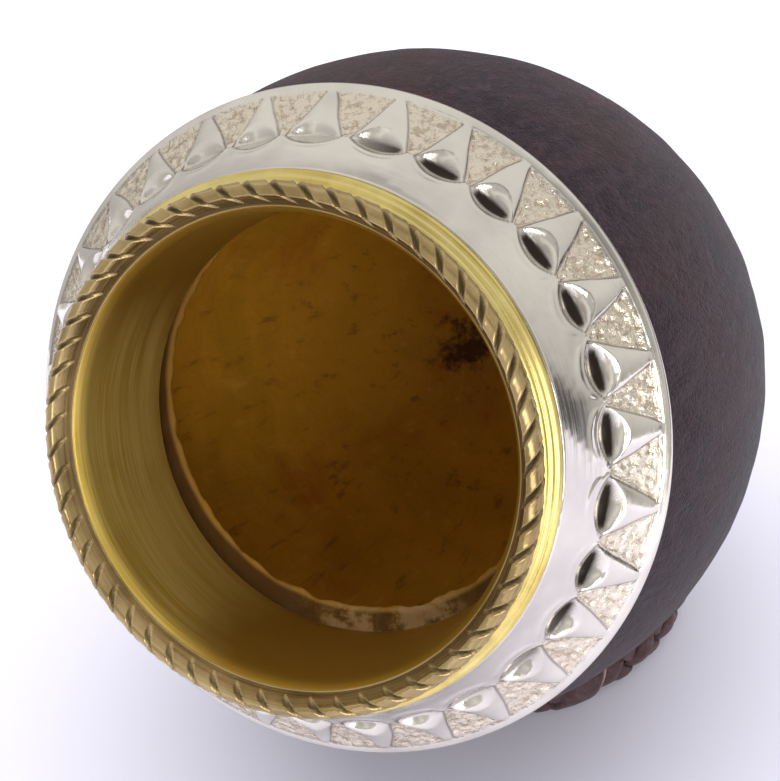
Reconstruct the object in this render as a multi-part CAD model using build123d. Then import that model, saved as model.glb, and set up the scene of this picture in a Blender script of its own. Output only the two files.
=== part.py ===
from build123d import *
import os
from math import atan2, cos, degrees, radians, sin, sqrt

os.makedirs("parts", exist_ok=True)

# An empty gourd cup: a calabash shell in a sewn leather cover, with a metal mouth,
# lying back in a braided leather ring. Sizes are in millimetres and degrees.
# The cup is drawn upright about +Z, with height 0 at the lip of its collar, and is
# then laid back so that the mouth looks along -Y and a little upwards.

# Leather-covered gourd, an egg that is widest at body_drop below the lip
body_radius = 47.4
body_half_length = 60.3
body_drop = 34.3
leather_wall = 1.8
gourd_wall = 7.0
gourd_floor = 8.0
neck_wall = 2.6
neck_waist_gap = 0.7
shoulder_land = 1.5
shoulder_round = 1.2

# Flared collar: a thin sheet from its upper ledge down to a flat lip
lip_overhang = 3.0
lip_width = 1.1
lip_thickness = 1.6
lip_edge_round = 0.6
collar_rise = 11.1
collar_sag = 1.0
collar_sheet = 1.2
ledge_thickness = 0.8

# Chased petals round the collar, each a hollow that is deepest at its rounded heel
petal_count = 30
petal_start = 7.7
petal_heel_gap = 5.2
petal_tip_gap = 0.7
petal_width = 6.2
petal_tip_depth = 0.2
petal_heel_depth = 0.8

# Brass sleeve that lines the mouth, with a flange under the rope-cut rim
bore_radius = 27.6
liner_wall = 0.7
liner_reach = 5.5
flange_height = 2.55
flange_thickness = 0.6
flange_width = 2.7
bevel_height = 1.05
bevel_width = 0.8

# Rope-cut rim: a round ring with slanted gouge cuts
rope_inset = 0.8
rope_section = 1.3
rope_sink = 1.15
cut_count = 56
cut_slant = 35.0
cut_tool_radius = 0.8
cut_depth = 0.45

# Beaded brass band between the rim and the collar
band_width = 1.9
band_inner_height = 1.9
band_outer_height = 0.8
band_crown = 0.3

# How the cup lies, and the braided ring under it
mouth_angle = 24.5
ring_radius = 28.8
ring_half_width = 4.8
ring_half_height = 4.6
ring_flat = 0.5
ring_bite = 2.82
ring_back = 3.5
ring_side = 1.3

# Clearances between pieces that fit each other
fit_gap = 0.1
seat_gap = 0.15

# The mouth's pieces fit one outside the other, from the bore outwards
liner_radius = bore_radius + liner_wall
neck_top_radius = liner_radius + fit_gap + neck_wall
flange_radius = bore_radius + flange_width
rope_radius = flange_radius - rope_inset
ledge_radius = flange_radius + fit_gap
band_inner_radius = ledge_radius + fit_gap
band_outer_radius = band_inner_radius + band_width
collar_top_radius = band_outer_radius + fit_gap
lip_radius = body_radius * sqrt(1 - (body_drop / body_half_length) ** 2) + lip_overhang

# and stand one above the other, from the collar's ledge upwards
neck_top_rise = collar_rise - ledge_thickness - fit_gap
flange_rise = collar_rise + flange_height
bevel_rise = flange_rise - bevel_height
sleeve_seat = -liner_reach - fit_gap
shoulder = -lip_thickness / 2 - fit_gap


def turned(outline):
    """A ring or bowl turned from a closed outline of radius and height points."""
    return revolve(Plane.XZ * make_face(outline), Axis.Z)


def polygon(points):
    """Straight edges round a closed outline."""
    return Polyline(points, close=True)


def egg(radius, half_length):
    """The egg form of the gourd, turned about the cup's axis."""
    centre = Pos(0, -body_drop)
    half_plane = Pos(radius, 0) * Rectangle(2 * radius, 3 * half_length)
    return revolve(Plane.XZ * (centre * (Ellipse(radius, half_length) & half_plane)), Axis.Z)


def slab(low, high, radius):
    """A round slab between two heights."""
    return Pos(0, 0, (low + high) / 2) * Cylinder(radius, high - low)


def egg_radius_at(height, radius, half_length):
    """The egg's radius at a height."""
    return radius * sqrt(1 - ((height + body_drop) / half_length) ** 2)


def make_leather_cover():
    """The leather skin, cut off just under the collar's lip."""
    gourd_radius = body_radius - leather_wall
    gourd_length = body_half_length - leather_wall
    skin = egg(body_radius, body_half_length) - egg(gourd_radius, gourd_length)
    above = slab(shoulder, body_half_length, 2 * body_radius)
    return skin - above


def make_gourd():
    """The calabash shell with its neck inside the collar and a bored mouth."""
    outer_radius = body_radius - leather_wall - fit_gap
    outer_length = body_half_length - leather_wall - fit_gap
    shell = egg(outer_radius, outer_length) - slab(shoulder, body_half_length, 2 * body_radius)
    neck_foot_radius = egg_radius_at(shoulder, outer_radius, outer_length) - fit_gap
    waist = collar_arc(collar_sheet + neck_waist_gap)[1]
    neck = turned(polygon([
        (0, shoulder),
        (neck_foot_radius, shoulder),
        (waist.X, waist.Y),
        (neck_top_radius, neck_top_rise),
        (0, neck_top_rise),
    ]))
    cavity = egg(outer_radius - gourd_wall, outer_length - gourd_floor)
    land_end = sleeve_seat - shoulder_land
    cavity -= slab(land_end, body_half_length, 2 * body_radius)
    bore = slab(land_end - shoulder_round, collar_rise, bore_radius)
    counterbore = slab(sleeve_seat, collar_rise, liner_radius + fit_gap)
    return shell + neck - cavity - bore - counterbore


def collar_arc(inward):
    """The collar's concave slope, from lip to top, set inward from its outer face."""
    foot = Vector(lip_radius - lip_width, lip_thickness / 2)
    top = Vector(collar_top_radius, collar_rise)
    slope = (top - foot).normalized()
    normal = Vector(-slope.Y, slope.X)
    middle = (foot + top) / 2 + normal * (collar_sag + inward)
    return foot + normal * inward, middle, top + normal * inward


def make_collar():
    """The flared sheet with its lip, its upper ledge and the chased petals."""
    foot, middle, top = collar_arc(0)
    inner_foot, inner_middle, inner_top = collar_arc(collar_sheet)
    half_lip = lip_thickness / 2
    lip_start = inner_foot.X - collar_sheet / 2
    ledge_low = collar_rise - ledge_thickness
    outline = ThreePointArc(foot, middle, top)
    outline += Polyline([
        top,
        (ledge_radius, collar_rise),
        (ledge_radius, ledge_low),
        (inner_top.X, ledge_low),
    ])
    outline += ThreePointArc((inner_top.X, ledge_low), inner_middle, (lip_start, half_lip / 2))
    outline += Polyline([
        (lip_start, half_lip / 2),
        (lip_start, -half_lip),
        (lip_radius - lip_edge_round, -half_lip),
    ])
    outline += ThreePointArc(
        (lip_radius - lip_edge_round, -half_lip),
        (lip_radius, 0),
        (lip_radius - lip_edge_round, half_lip),
    )
    outline += Line((lip_radius - lip_edge_round, half_lip), foot)
    between_petals = petal_start + 180 / petal_count
    collar = Rot(0, 0, between_petals) * turned(outline)
    return collar - [petal_hollow(index) for index in range(petal_count)]


def petal_hollow(index):
    """One petal's cutter: a teardrop whose floor rises from its heel to its tip."""
    foot, middle, top = collar_arc(0)
    slope = ThreePointArc(foot, middle, top)
    tip = slope.position_at(petal_tip_gap / slope.length)
    heel = slope.position_at(1 - petal_heel_gap / slope.length)
    along = heel - tip
    length = along.length
    heel_radius = petal_width / 2
    outline = Line((0, 0), (length - heel_radius, heel_radius))
    outline += ThreePointArc(
        (length - heel_radius, heel_radius), (length, 0), (length - heel_radius, -heel_radius)
    )
    outline += Line((length - heel_radius, -heel_radius), (0, 0))
    column = Pos(0, 0, -petal_width / 2) * extrude(make_face(outline), petal_width)
    floor_tilt = degrees(atan2(petal_heel_depth - petal_tip_depth, length))
    half_space = Pos(length / 2, 0, length) * Box(4 * length, 4 * length, 2 * length)
    above_floor = Pos(0, 0, -petal_tip_depth) * Rot(0, floor_tilt, 0) * half_space
    on_slope = Plane(
        origin=(tip.X, 0, tip.Y),
        x_dir=(along.X, 0, along.Y),
        z_dir=(along.Y, 0, -along.X),
    )
    around = petal_start + index * 360 / petal_count
    return Rot(0, 0, around) * on_slope.location * (column & above_floor)


def make_liner():
    """The brass sleeve with its bevelled mouth and the flange under the rim."""
    flange_low = flange_rise - flange_thickness
    return turned(polygon([
        (bore_radius, -liner_reach),
        (bore_radius, bevel_rise),
        (bore_radius + bevel_width, flange_rise),
        (flange_radius, flange_rise),
        (flange_radius, flange_low),
        (liner_radius + flange_thickness, flange_low),
        (liner_radius, flange_low - flange_thickness),
        (liner_radius, -liner_reach),
    ]))


def make_rope_rim():
    """The round rim on the flange, gouged all round at a slant."""
    flat = flange_rise + fit_gap
    centre_height = flat + rope_sink
    section = Pos(rope_radius, centre_height) * Circle(rope_section)
    section -= Pos(rope_radius, flat - rope_section) * Rectangle(4 * rope_section, 2 * rope_section)
    rim = revolve(Plane.XZ * section, Axis.Z)
    tool_height = centre_height + rope_section - cut_depth + cut_tool_radius
    tool = Pos(rope_radius, 0, tool_height) * Rot(0, 0, cut_slant) * Rot(0, 90, 0)
    tool = tool * Cylinder(cut_tool_radius, 6 * rope_section)
    return rim - [Rot(0, 0, index * 360 / cut_count) * tool for index in range(cut_count)]


def make_band():
    """Two rounded beads side by side, sitting on the collar's ledge."""
    inner = Vector(band_inner_radius, collar_rise + band_inner_height)
    outer = Vector(band_outer_radius, collar_rise + band_outer_height)
    slope = (outer - inner).normalized()
    rise = Vector(-slope.Y, slope.X) * band_crown
    middle = (inner + outer) / 2
    seat = collar_rise + fit_gap
    outline = ThreePointArc(inner, (inner + middle) / 2 + rise, middle)
    outline += ThreePointArc(middle, (middle + outer) / 2 + rise, outer)
    outline += Polyline([outer, (outer.X, seat), (inner.X, seat), inner])
    return turned(outline)


# Where the laid-back egg would touch a floor, measured from its centre
axis_rise = sin(radians(mouth_angle))
axis_reach = cos(radians(mouth_angle))
height_to_centre = sqrt((body_radius * axis_reach) ** 2 + (body_half_length * axis_rise) ** 2)
length_excess = body_half_length ** 2 - body_radius ** 2
touch_back = length_excess * axis_rise * axis_reach / height_to_centre
ring_centre_back = touch_back + ring_back


def egg_underside(side, back):
    """Height of the laid-back egg's underside over a floor that it just touches."""
    squeeze = 1 / body_radius ** 2 - 1 / body_half_length ** 2
    square = axis_reach ** 2 / body_radius ** 2 + axis_rise ** 2 / body_half_length ** 2
    linear = 2 * back * axis_rise * axis_reach * squeeze
    spread = axis_rise ** 2 / body_radius ** 2 + axis_reach ** 2 / body_half_length ** 2
    constant = (side / body_radius) ** 2 + back ** 2 * spread - 1
    lowest = (-linear - sqrt(linear ** 2 - 4 * square * constant)) / (2 * square)
    return height_to_centre + lowest


# The egg sinks into the ring's crown by the bite at the place where it is lowest
crown_angles = [radians(5 * step) for step in range(72)]
over_crown = min(
    egg_underside(ring_side + ring_radius * cos(angle), ring_centre_back + ring_radius * sin(angle))
    for angle in crown_angles
)
body_lift = 2 * ring_half_height - ring_flat - over_crown - ring_bite

# The cup turns about its widest girth, which the ring holds off the floor
laid_back = Pos(0, 0, body_lift + height_to_centre) * Rot(90 - mouth_angle, 0, 0) * Pos(0, 0, body_drop)


def make_braided_ring():
    """The ring's outer form, flat underneath and hollowed where the cup lies in it."""
    centre_height = ring_half_height - ring_flat
    section = Pos(ring_radius, centre_height) * Ellipse(ring_half_width, ring_half_height)
    section -= Pos(ring_radius, -ring_half_height) * Rectangle(4 * ring_half_width, 2 * ring_half_height)
    ring = revolve(Plane.XZ * section, Axis.Z)
    ring = Pos(ring_side, ring_centre_back, 0) * ring
    return ring - laid_back * egg(body_radius + seat_gap, body_half_length + seat_gap)


pieces = {
    "gourd": laid_back * make_gourd(),
    "leather_cover": laid_back * make_leather_cover(),
    "collar": laid_back * make_collar(),
    "brass_liner": laid_back * make_liner(),
    "rope_rim": laid_back * make_rope_rim(),
    "brass_band": laid_back * make_band(),
    "braided_ring": make_braided_ring(),
}

# The origin is the middle of the whole part's footprint, on the floor
whole = Compound(children=[piece.solid() for piece in pieces.values()]).bounding_box()
footprint = Pos(-(whole.min.X + whole.max.X) / 2, -(whole.min.Y + whole.max.Y) / 2, -whole.min.Z)
print("shift to the origin", footprint.position)
for name, piece in pieces.items():
    export_step(footprint * piece.solid(), f"parts/{name}.step")
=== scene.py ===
from math import asin, cos, degrees, exp, hypot, pi, radians, sin, sqrt

import bpy
import bmesh
from mathutils import Matrix, Vector, noise


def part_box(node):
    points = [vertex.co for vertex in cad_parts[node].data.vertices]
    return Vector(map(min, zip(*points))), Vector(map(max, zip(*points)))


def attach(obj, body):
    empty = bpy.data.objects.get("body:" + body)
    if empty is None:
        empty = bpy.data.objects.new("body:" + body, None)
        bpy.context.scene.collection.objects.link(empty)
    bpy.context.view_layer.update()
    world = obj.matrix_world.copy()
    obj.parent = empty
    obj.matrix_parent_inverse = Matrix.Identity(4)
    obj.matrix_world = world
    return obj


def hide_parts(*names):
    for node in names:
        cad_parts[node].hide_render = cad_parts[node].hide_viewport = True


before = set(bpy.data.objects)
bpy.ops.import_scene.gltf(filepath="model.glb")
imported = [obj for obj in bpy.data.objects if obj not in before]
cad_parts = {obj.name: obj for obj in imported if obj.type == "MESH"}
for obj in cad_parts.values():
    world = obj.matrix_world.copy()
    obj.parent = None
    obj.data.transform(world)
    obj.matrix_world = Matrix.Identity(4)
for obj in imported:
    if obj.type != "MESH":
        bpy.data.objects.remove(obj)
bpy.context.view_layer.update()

mm = 0.001

# Where the cup lies. It is drawn upright about Z with the lip at height 0, then laid back.
cup = {
    "mouthAngle": 24.5,         # degrees, how far the mouth looks up above level
    "halfLength": 60.3 * mm,    # half the length of the egg-shaped body
    "drop": 34.3 * mm,          # from the lip down to the widest girth
    "leatherWall": 1.8 * mm,
}
tilt = radians(cup["mouthAngle"])
leatherLow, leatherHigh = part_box("leather_cover")
bodyRadius = (leatherHigh.x - leatherLow.x) / 2
bodyCentre = Vector((
    (leatherLow.x + leatherHigh.x) / 2,
    leatherHigh.y - hypot(bodyRadius * sin(tilt), cup["halfLength"] * cos(tilt)),
    leatherLow.z + hypot(bodyRadius * cos(tilt), cup["halfLength"] * sin(tilt)),
))
layBack = Matrix.Rotation(pi / 2 - tilt, 4, "X")
cupPlace = Matrix.Translation(bodyCentre) @ layBack @ Matrix.Translation((0, 0, cup["drop"]))


# Small helpers for every node tree
def addNode(tree, kind, inputs=None, **settings):
    node = tree.nodes.new(kind)
    for key, value in settings.items():
        setattr(node, key, value)
    for key, value in (inputs or {}).items():
        if isinstance(value, bpy.types.NodeSocket):
            tree.links.new(value, node.inputs[key])
        else:
            node.inputs[key].default_value = value
    return node


def calc(tree, operation, *values):
    inputs = dict(enumerate(values))
    return addNode(tree, "ShaderNodeMath", inputs, operation=operation).outputs[0]


def vectorCalc(tree, operation, *values, out="Vector"):
    inputs = dict(enumerate(values))
    return addNode(tree, "ShaderNodeVectorMath", inputs, operation=operation).outputs[out]


def blendColour(tree, factor, first, second):
    mix = addNode(tree, "ShaderNodeMix", data_type="RGBA")
    for socket, value in ((mix.inputs[0], factor), (mix.inputs[6], first), (mix.inputs[7], second)):
        if isinstance(value, bpy.types.NodeSocket):
            tree.links.new(value, socket)
        elif isinstance(value, tuple):
            socket.default_value = value + (1.0,) * (4 - len(value))
        else:
            socket.default_value = value
    return mix.outputs[2]


def fade(tree, value, low, high, fromValue=0.0, toValue=1.0):
    names = ("Value", "From Min", "From Max", "To Min", "To Max")
    inputs = dict(zip(names, (value, low, high, fromValue, toValue)))
    return addNode(tree, "ShaderNodeMapRange", inputs, interpolation_type="SMOOTHSTEP").outputs[0]


def newFinish(name):
    material = bpy.data.materials.new(name)
    material.use_nodes = True
    tree = material.node_tree
    shader = tree.nodes["Principled BSDF"]
    return material, tree, shader


def cupSpace(tree):
    # the cup's own upright coordinates, worked back from where it lies
    back = cupPlace.inverted()
    spot = addNode(tree, "ShaderNodeTexCoord").outputs["Object"]
    inputs = {"Vector": spot, "Location": back.translation, "Rotation": back.to_euler()}
    return addNode(tree, "ShaderNodeMapping", inputs).outputs["Vector"]


def stretched(tree, spot, scale):
    return vectorCalc(tree, "MULTIPLY", spot, scale)


def noiseAt(tree, spot, scale=1.0, detail=3.0, roughness=0.5, distortion=0.0):
    inputs = {"Vector": spot, "Scale": scale, "Detail": detail, "Roughness": roughness,
              "Distortion": distortion}
    return addNode(tree, "ShaderNodeTexNoise", inputs).outputs["Fac"]


def bumped(tree, shader, height, distance, strength=1.0, below=None):
    inputs = {"Height": height, "Distance": distance, "Strength": strength}
    if below is not None:
        inputs["Normal"] = below
    normal = addNode(tree, "ShaderNodeBump", inputs).outputs["Normal"]
    tree.links.new(normal, shader.inputs["Normal"])
    return normal


def maskNamed(tree, name):
    return addNode(tree, "ShaderNodeAttribute", attribute_name=name).outputs["Fac"]


def towards(angle):
    # the level direction at so many degrees round the cup
    return Vector((cos(radians(angle)), sin(radians(angle)), 0))


def sideTowards(tree, spot, angle):
    # 1 on the side of the cup that lies at this angle, -1 on the far side
    flat = vectorCalc(tree, "NORMALIZE", vectorCalc(tree, "MULTIPLY", spot, (1.0, 1.0, 0.0)))
    return vectorCalc(tree, "DOT_PRODUCT", flat, towards(angle), out="Value")


# Meshes turned about the cup's axis. Every outline runs clockwise, down the outside.
def joinRings(rings, closed):
    faces = []
    following = rings[1:] + rings[:1] if closed else rings[1:]
    for upper, lower in zip(rings, following):
        count = max(len(upper), len(lower))
        for i in range(count):
            j = (i + 1) % count
            corners = [upper[i % len(upper)], lower[i % len(lower)]]
            corners += [lower[j % len(lower)], upper[j % len(upper)]]
            faces.append(tuple(dict.fromkeys(corners)))
    return faces


def turnedMesh(name, outline, steps, closed=True, shape=None):
    # outline: (radius, height) pairs; a radius of 0 makes one pole point
    points, rings = [], []
    for radius, height in outline:
        count = steps if radius > 0 else 1
        rings.append(list(range(len(points), len(points) + count)))
        for i in range(count):
            angle = 2 * pi * i / steps
            point = Vector((radius * cos(angle), radius * sin(angle), height))
            points.append(shape(point) if shape else point)
    mesh = bpy.data.meshes.new(name)
    mesh.from_pydata(points, [], joinRings(rings, closed))
    mesh.shade_smooth()
    return mesh


def sectorMesh(name, rows, columns, pitch, relief, spread=None):
    # one sector of a ring: rows are (radius, height, outward direction, distance along)
    points, masks = [], []
    for radius, height, outward, along in rows:
        for i in range(columns + 1):
            share = i / columns * 2 - 1
            angle = pitch / 2 * (spread(along, share, radius) if spread else share)
            push, marks = relief(along, angle, radius)
            reach = radius + outward[0] * push
            points.append((reach * cos(angle), reach * sin(angle), height + outward[1] * push))
            masks.append(marks)
    faces = []
    width = columns + 1
    for row in range(len(rows)):
        here, below = row * width, (row + 1) % len(rows) * width
        for i in range(columns):
            faces.append((here + i, below + i, below + i + 1, here + i + 1))
    mesh = bpy.data.meshes.new(name)
    mesh.from_pydata(points, [], faces)
    for key in masks[0]:
        attribute = mesh.attributes.new(key, "FLOAT", "POINT")
        attribute.data.foreach_set("value", [marks[key] for marks in masks])
    return mesh


def arc(centre, radius, start, end, count):
    # points on an arc, angles in degrees anticlockwise from straight outwards
    angles = [radians(start + (end - start) * i / (count - 1)) for i in range(count)]
    return [(centre[0] + radius * cos(a), centre[1] + radius * sin(a)) for a in angles]


def straight(start, end, count):
    steps = [i / (count - 1) for i in range(count)]
    return [tuple(a + (b - a) * t for a, b in zip(start, end)) for t in steps]


def inMillimetres(points):
    return [(x * mm, y * mm) for x, y in points]


def smoothStep(value, low, high):
    t = min(max((value - low) / (high - low), 0.0), 1.0)
    return t * t * (3 - 2 * t)


def finishPiece(name, mesh, finish, nodeName):
    # the piece stands for its CAD node and moves with the cup's one body
    piece = bpy.data.objects.new(name, mesh)
    bpy.context.scene.collection.objects.link(piece)
    if finish and not mesh.materials:
        mesh.materials.append(finish)
    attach(piece, "root")
    if nodeName:
        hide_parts(nodeName)
    return piece


# Geometry Nodes: repeat a sector all the way round, then let the handwork drift a little
def pushedByNoise(tree, whole, place, direction, maskName, given, label, detail):
    # moves the points along a direction by a noise, as far as their mask allows
    inputs = {"Vector": place, "W": given["Seed"], "Detail": detail, "Scale": given[label + " Scale"]}
    wave = addNode(tree, "ShaderNodeTexNoise", inputs, noise_dimensions="4D").outputs[0]
    reach = calc(tree, "MULTIPLY", calc(tree, "SUBTRACT", wave, 0.5), given[label])
    mask = addNode(tree, "GeometryNodeInputNamedAttribute", {"Name": maskName}, data_type="FLOAT")
    reach = calc(tree, "MULTIPLY", reach, mask.outputs[0])
    inputs = {0: direction, "Scale": reach}
    offset = addNode(tree, "ShaderNodeVectorMath", inputs, operation="SCALE").outputs[0]
    return addNode(tree, "GeometryNodeSetPosition", {"Geometry": whole, "Offset": offset}).outputs[0]


def makeRingTree():
    tree = bpy.data.node_groups.new("repeatRound", "GeometryNodeTree")
    sockets = {}
    for label, kind in (
        ("Sector", "NodeSocketGeometry"), ("Count", "NodeSocketInt"), ("Start", "NodeSocketFloat"),
        ("Drift", "NodeSocketFloat"), ("Drift Scale", "NodeSocketFloat"),
        ("Grain", "NodeSocketFloat"), ("Grain Scale", "NodeSocketFloat"),
        ("Seed", "NodeSocketFloat"), ("Finish", "NodeSocketMaterial"),
    ):
        sockets[label] = tree.interface.new_socket(label, in_out="INPUT", socket_type=kind).identifier
    tree.interface.new_socket("Ring", in_out="OUTPUT", socket_type="NodeSocketGeometry")
    given = addNode(tree, "NodeGroupInput").outputs
    points = addNode(tree, "GeometryNodePoints", {"Count": given["Count"]}).outputs[0]
    step = calc(tree, "DIVIDE", 2 * pi, given["Count"])
    index = addNode(tree, "GeometryNodeInputIndex").outputs[0]
    turn = calc(tree, "MULTIPLY_ADD", index, step, given["Start"])
    rotation = addNode(tree, "ShaderNodeCombineXYZ", {"Z": turn}).outputs[0]
    copies = addNode(tree, "GeometryNodeInstanceOnPoints",
                     {"Points": points, "Instance": given["Sector"], "Rotation": rotation}).outputs[0]
    whole = addNode(tree, "GeometryNodeRealizeInstances", {"Geometry": copies}).outputs[0]
    seam = {"Geometry": whole, "Distance": 0.01 * mm}
    whole = addNode(tree, "GeometryNodeMergeByDistance", seam).outputs[0]

    # slide the work along the ring by a slow noise, where the sector says it is loose
    place = addNode(tree, "GeometryNodeInputPosition").outputs[0]
    along = vectorCalc(tree, "NORMALIZE", vectorCalc(tree, "CROSS_PRODUCT", (0, 0, 1), place))
    whole = pushedByNoise(tree, whole, place, along, "loose", given, "Drift", 2.0)

    # punch the ground between the work with a coarse grain
    normal = addNode(tree, "GeometryNodeInputNormal").outputs[0]
    whole = pushedByNoise(tree, whole, place, normal, "ground", given, "Grain", 1.0)

    whole = addNode(tree, "GeometryNodeSetShadeSmooth", {"Geometry": whole}).outputs[0]
    coat = {"Geometry": whole, "Material": given["Finish"]}
    whole = addNode(tree, "GeometryNodeSetMaterial", coat).outputs[0]
    out = addNode(tree, "NodeGroupOutput")
    tree.links.new(whole, out.inputs[0])
    return tree, sockets


ringTree, ringSockets = makeRingTree()


def repeatRound(sector, finish, count, settings):
    # runs the tree on one sector and gives the whole ring back as a plain mesh
    values = {
        "Count": count, "Start": radians(settings["start"]),
        "Drift": settings["drift"], "Drift Scale": settings["driftScale"],
        "Grain": settings["grain"], "Grain Scale": settings["grainScale"],
        "Seed": settings["seed"], "Finish": finish,
    }
    carrier = bpy.data.objects.new(sector.name + "Sector", sector)
    bpy.context.scene.collection.objects.link(carrier)
    modifier = carrier.modifiers.new("repeatRound", "NODES")
    modifier.node_group = ringTree
    for label, value in values.items():
        modifier[ringSockets[label]] = value
    bpy.context.view_layer.update()
    graph = bpy.context.evaluated_depsgraph_get()
    seen = carrier.evaluated_get(graph)
    mesh = bpy.data.meshes.new_from_object(seen, preserve_all_data_layers=True, depsgraph=graph)
    carrier.modifiers.remove(modifier)
    bpy.data.objects.remove(carrier)
    mesh.transform(cupPlace)
    return mesh


# Collar: a flared sheet of nickel silver with thirty chased petals
collar = {
    "petals": 30,
    "start": 7.7,              # degrees, middle of the first petal
    "top": (32.5, 11.1),       # radius and height where the slope begins, mm
    "foot": (41.3, 0.66),      # and where it meets the lip
    "sag": 1.0,                # how far the slope is hollowed
    "slopeRows": 60,
    "columns": 40,
    "thickness": 1.2,
    "looseFrom": 1.5,          # mm down the slope where the work starts to drift sideways
    "heel": 5.3,               # mm down the slope to the petals' rounded heels
    "heelBow": 1.5,            # the heel's corners sit this much lower
    "heelHalfWidth": 3.3,
    "darkMiddle": 1.6,         # mm from the heel to the middle of the tarnish and painted dark reflection in its scoop
    "darkHalf": 1.35,
    "scoopReach": 2.5,         # from the heel's edge to the bottom of its scoop
    "scoopRise": 1.2,          # from there up to the petal's crest
    "scoopDepth": 0.95,
    "crest": 0.30,
    "spine": 0.50,             # how proud a petal stands behind its crest
    "tip": 13.45,              # mm down the slope to the tips
    "tipHalfWidth": 0.55,
    "bandEnd": 13.4,           # mm down the slope where the worked band ends
    "groundDepth": 0.32,
    "outlineDepth": 0.12,
    "rimHeight": 0.09,         # burr beside the outline
    "weltGap": 1.15,           # mm from the heel up to the swelling round it
    "weltHeight": 0.12,
    "drift": 4.5 * mm, "driftScale": 55.0,
    "grain": 0.75 * mm, "grainScale": 1400.0,
    "seed": 4.0,
}


def petalHalfWidth(along):
    downTo = collar["heel"] + collar["heelBow"]
    share = min(max((collar["tip"] - along) / (collar["tip"] - downTo), 0.0), 1.0)
    return collar["tipHalfWidth"] + (collar["heelHalfWidth"] - collar["tipHalfWidth"]) * share ** 0.9


def petalSpread(along, share, radius):
    # half of the columns keep to the petal, so that its flanks stay crisp lines
    if along is None:
        along = 99.0
    flank = petalHalfWidth(along) * mm / (radius * pi / collar["petals"])
    begun = smoothStep(along, collar["heel"] - 2.5, collar["heel"] + collar["heelBow"])
    flank = 0.5 + (flank - 0.5) * begun
    size = abs(share)
    placed = size / 0.5 * flank if size < 0.5 else flank + (size - 0.5) / 0.5 * (1 - flank)
    return placed if share >= 0 else -placed


def petalRelief(along, angle, radius):
    # how far the chaser pushed the sheet in or out, and what kind of place it is
    marks = {"ground": 0.0, "groove": 0.0, "scoop": 0.0, "loose": 0.0}
    if along is None:
        return 0.0, marks
    side = abs(angle) * radius / mm
    half = collar["heelHalfWidth"]
    marks["loose"] = smoothStep(along, collar["looseFrom"], collar["looseFrom"] + 3.0)
    marks["loose"] *= 1 - smoothStep(along, collar["bandEnd"] - 0.2, collar["bandEnd"] + 0.2)
    across = min(side / half, 1.0)
    swell = 1 - across * across
    heelLine = collar["heel"] + collar["heelBow"] * (side / half) ** 2
    bottomLine = heelLine + collar["scoopReach"] * swell
    crestLine = bottomLine + collar["scoopRise"] * swell
    downTo = collar["heel"] + collar["heelBow"]
    width = petalHalfWidth(along)
    beside = side - width                                   # mm outside the petal's flank
    if along < downTo:
        beside = max(beside, (heelLine - along) * 0.8)
    push = 0.0
    deep = collar["scoopDepth"] * swell
    high = collar["crest"] * swell
    if side < half and heelLine < along <= bottomLine:
        push = -deep * sin((along - heelLine) / (bottomLine - heelLine) * pi / 2) ** 0.9
    elif side < half and bottomLine < along <= crestLine:
        t = (along - bottomLine) / (crestLine - bottomLine)
        push = -deep + (deep + high) * sin(t * pi / 2)
    elif beside <= 0 and along > crestLine:
        t = min((along - crestLine) / (collar["tip"] - crestLine), 1.0)
        dome = 1 - 0.8 * min(side / max(width, 0.3), 1.0) ** 2
        push = collar["spine"] * (1 - 0.68 * t) * dome * (1 - smoothStep(t, 0.85, 1.0))
    if swell > 0.05:
        # the tarnish and painted dark reflection in the hollow make a lens with soft ends
        offMiddle = abs(along - heelLine - collar["darkMiddle"] * swell) / (collar["darkHalf"] * swell)
        marks["scoop"] = (1 - smoothStep(offMiddle, 0.55, 1.05)) * smoothStep(swell, 0.12, 0.6)
    aboveEnd = 1 - smoothStep(along, collar["bandEnd"] - 0.25, collar["bandEnd"])
    inBand = smoothStep(along, downTo - 0.2, downTo + 0.5) * aboveEnd
    marks["ground"] = smoothStep(beside, 0.02, 0.30) * inBand
    push -= collar["groundDepth"] * marks["ground"]
    edge = exp(-((beside - 0.02) / 0.13) ** 2) * aboveEnd
    edge *= smoothStep(along, collar["heel"] - 0.6, collar["heel"] + 0.1)
    push -= collar["outlineDepth"] * edge
    rim = exp(-((beside - 0.30) / 0.14) ** 2) * smoothStep(along, collar["heel"] - 0.9, collar["heel"])
    rim *= 1 - smoothStep(along, collar["bandEnd"] - 0.5, collar["bandEnd"] - 0.1)
    push += collar["rimHeight"] * rim
    # the sheet swells a little where the punch drove it back, round each heel
    welt = exp(-((heelLine - along - collar["weltGap"]) / 0.36) ** 2) * smoothStep(swell, 0.0, 0.45)
    push += collar["weltHeight"] * welt
    marks["groove"] = edge
    return push * mm, marks


def collarRows():
    # the slope first, from the band down to the lip, then round the lip and back inside
    top, foot = Vector(collar["top"]), Vector(collar["foot"])
    run = foot - top
    out = Vector((-run.y, run.x)).normalized()
    rows = []
    for i in range(collar["slopeRows"] + 1):
        t = i / collar["slopeRows"]
        spot = top + run * t - out * collar["sag"] * 4 * t * (1 - t)
        rows.append((spot.x * mm, spot.y * mm, out, run.length * t))
    rest = arc((41.5, 0.0), 0.5, 60, -80, 7) + [(40.9, -0.62), (39.6, -0.8), (39.4, -0.3)]
    for i in range(7):
        t = 1 - i / 6 * 0.98
        spot = top + run * t - out * (collar["sag"] * 4 * t * (1 - t) + collar["thickness"])
        rest.append((spot.x, spot.y))
    rest += [(31.0, 10.3), (30.4, 10.3), (30.4, 11.1), (31.4, 11.12)]
    rows += [(x * mm, y * mm, (0.0, 0.0), None) for x, y in rest]
    return rows


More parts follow.
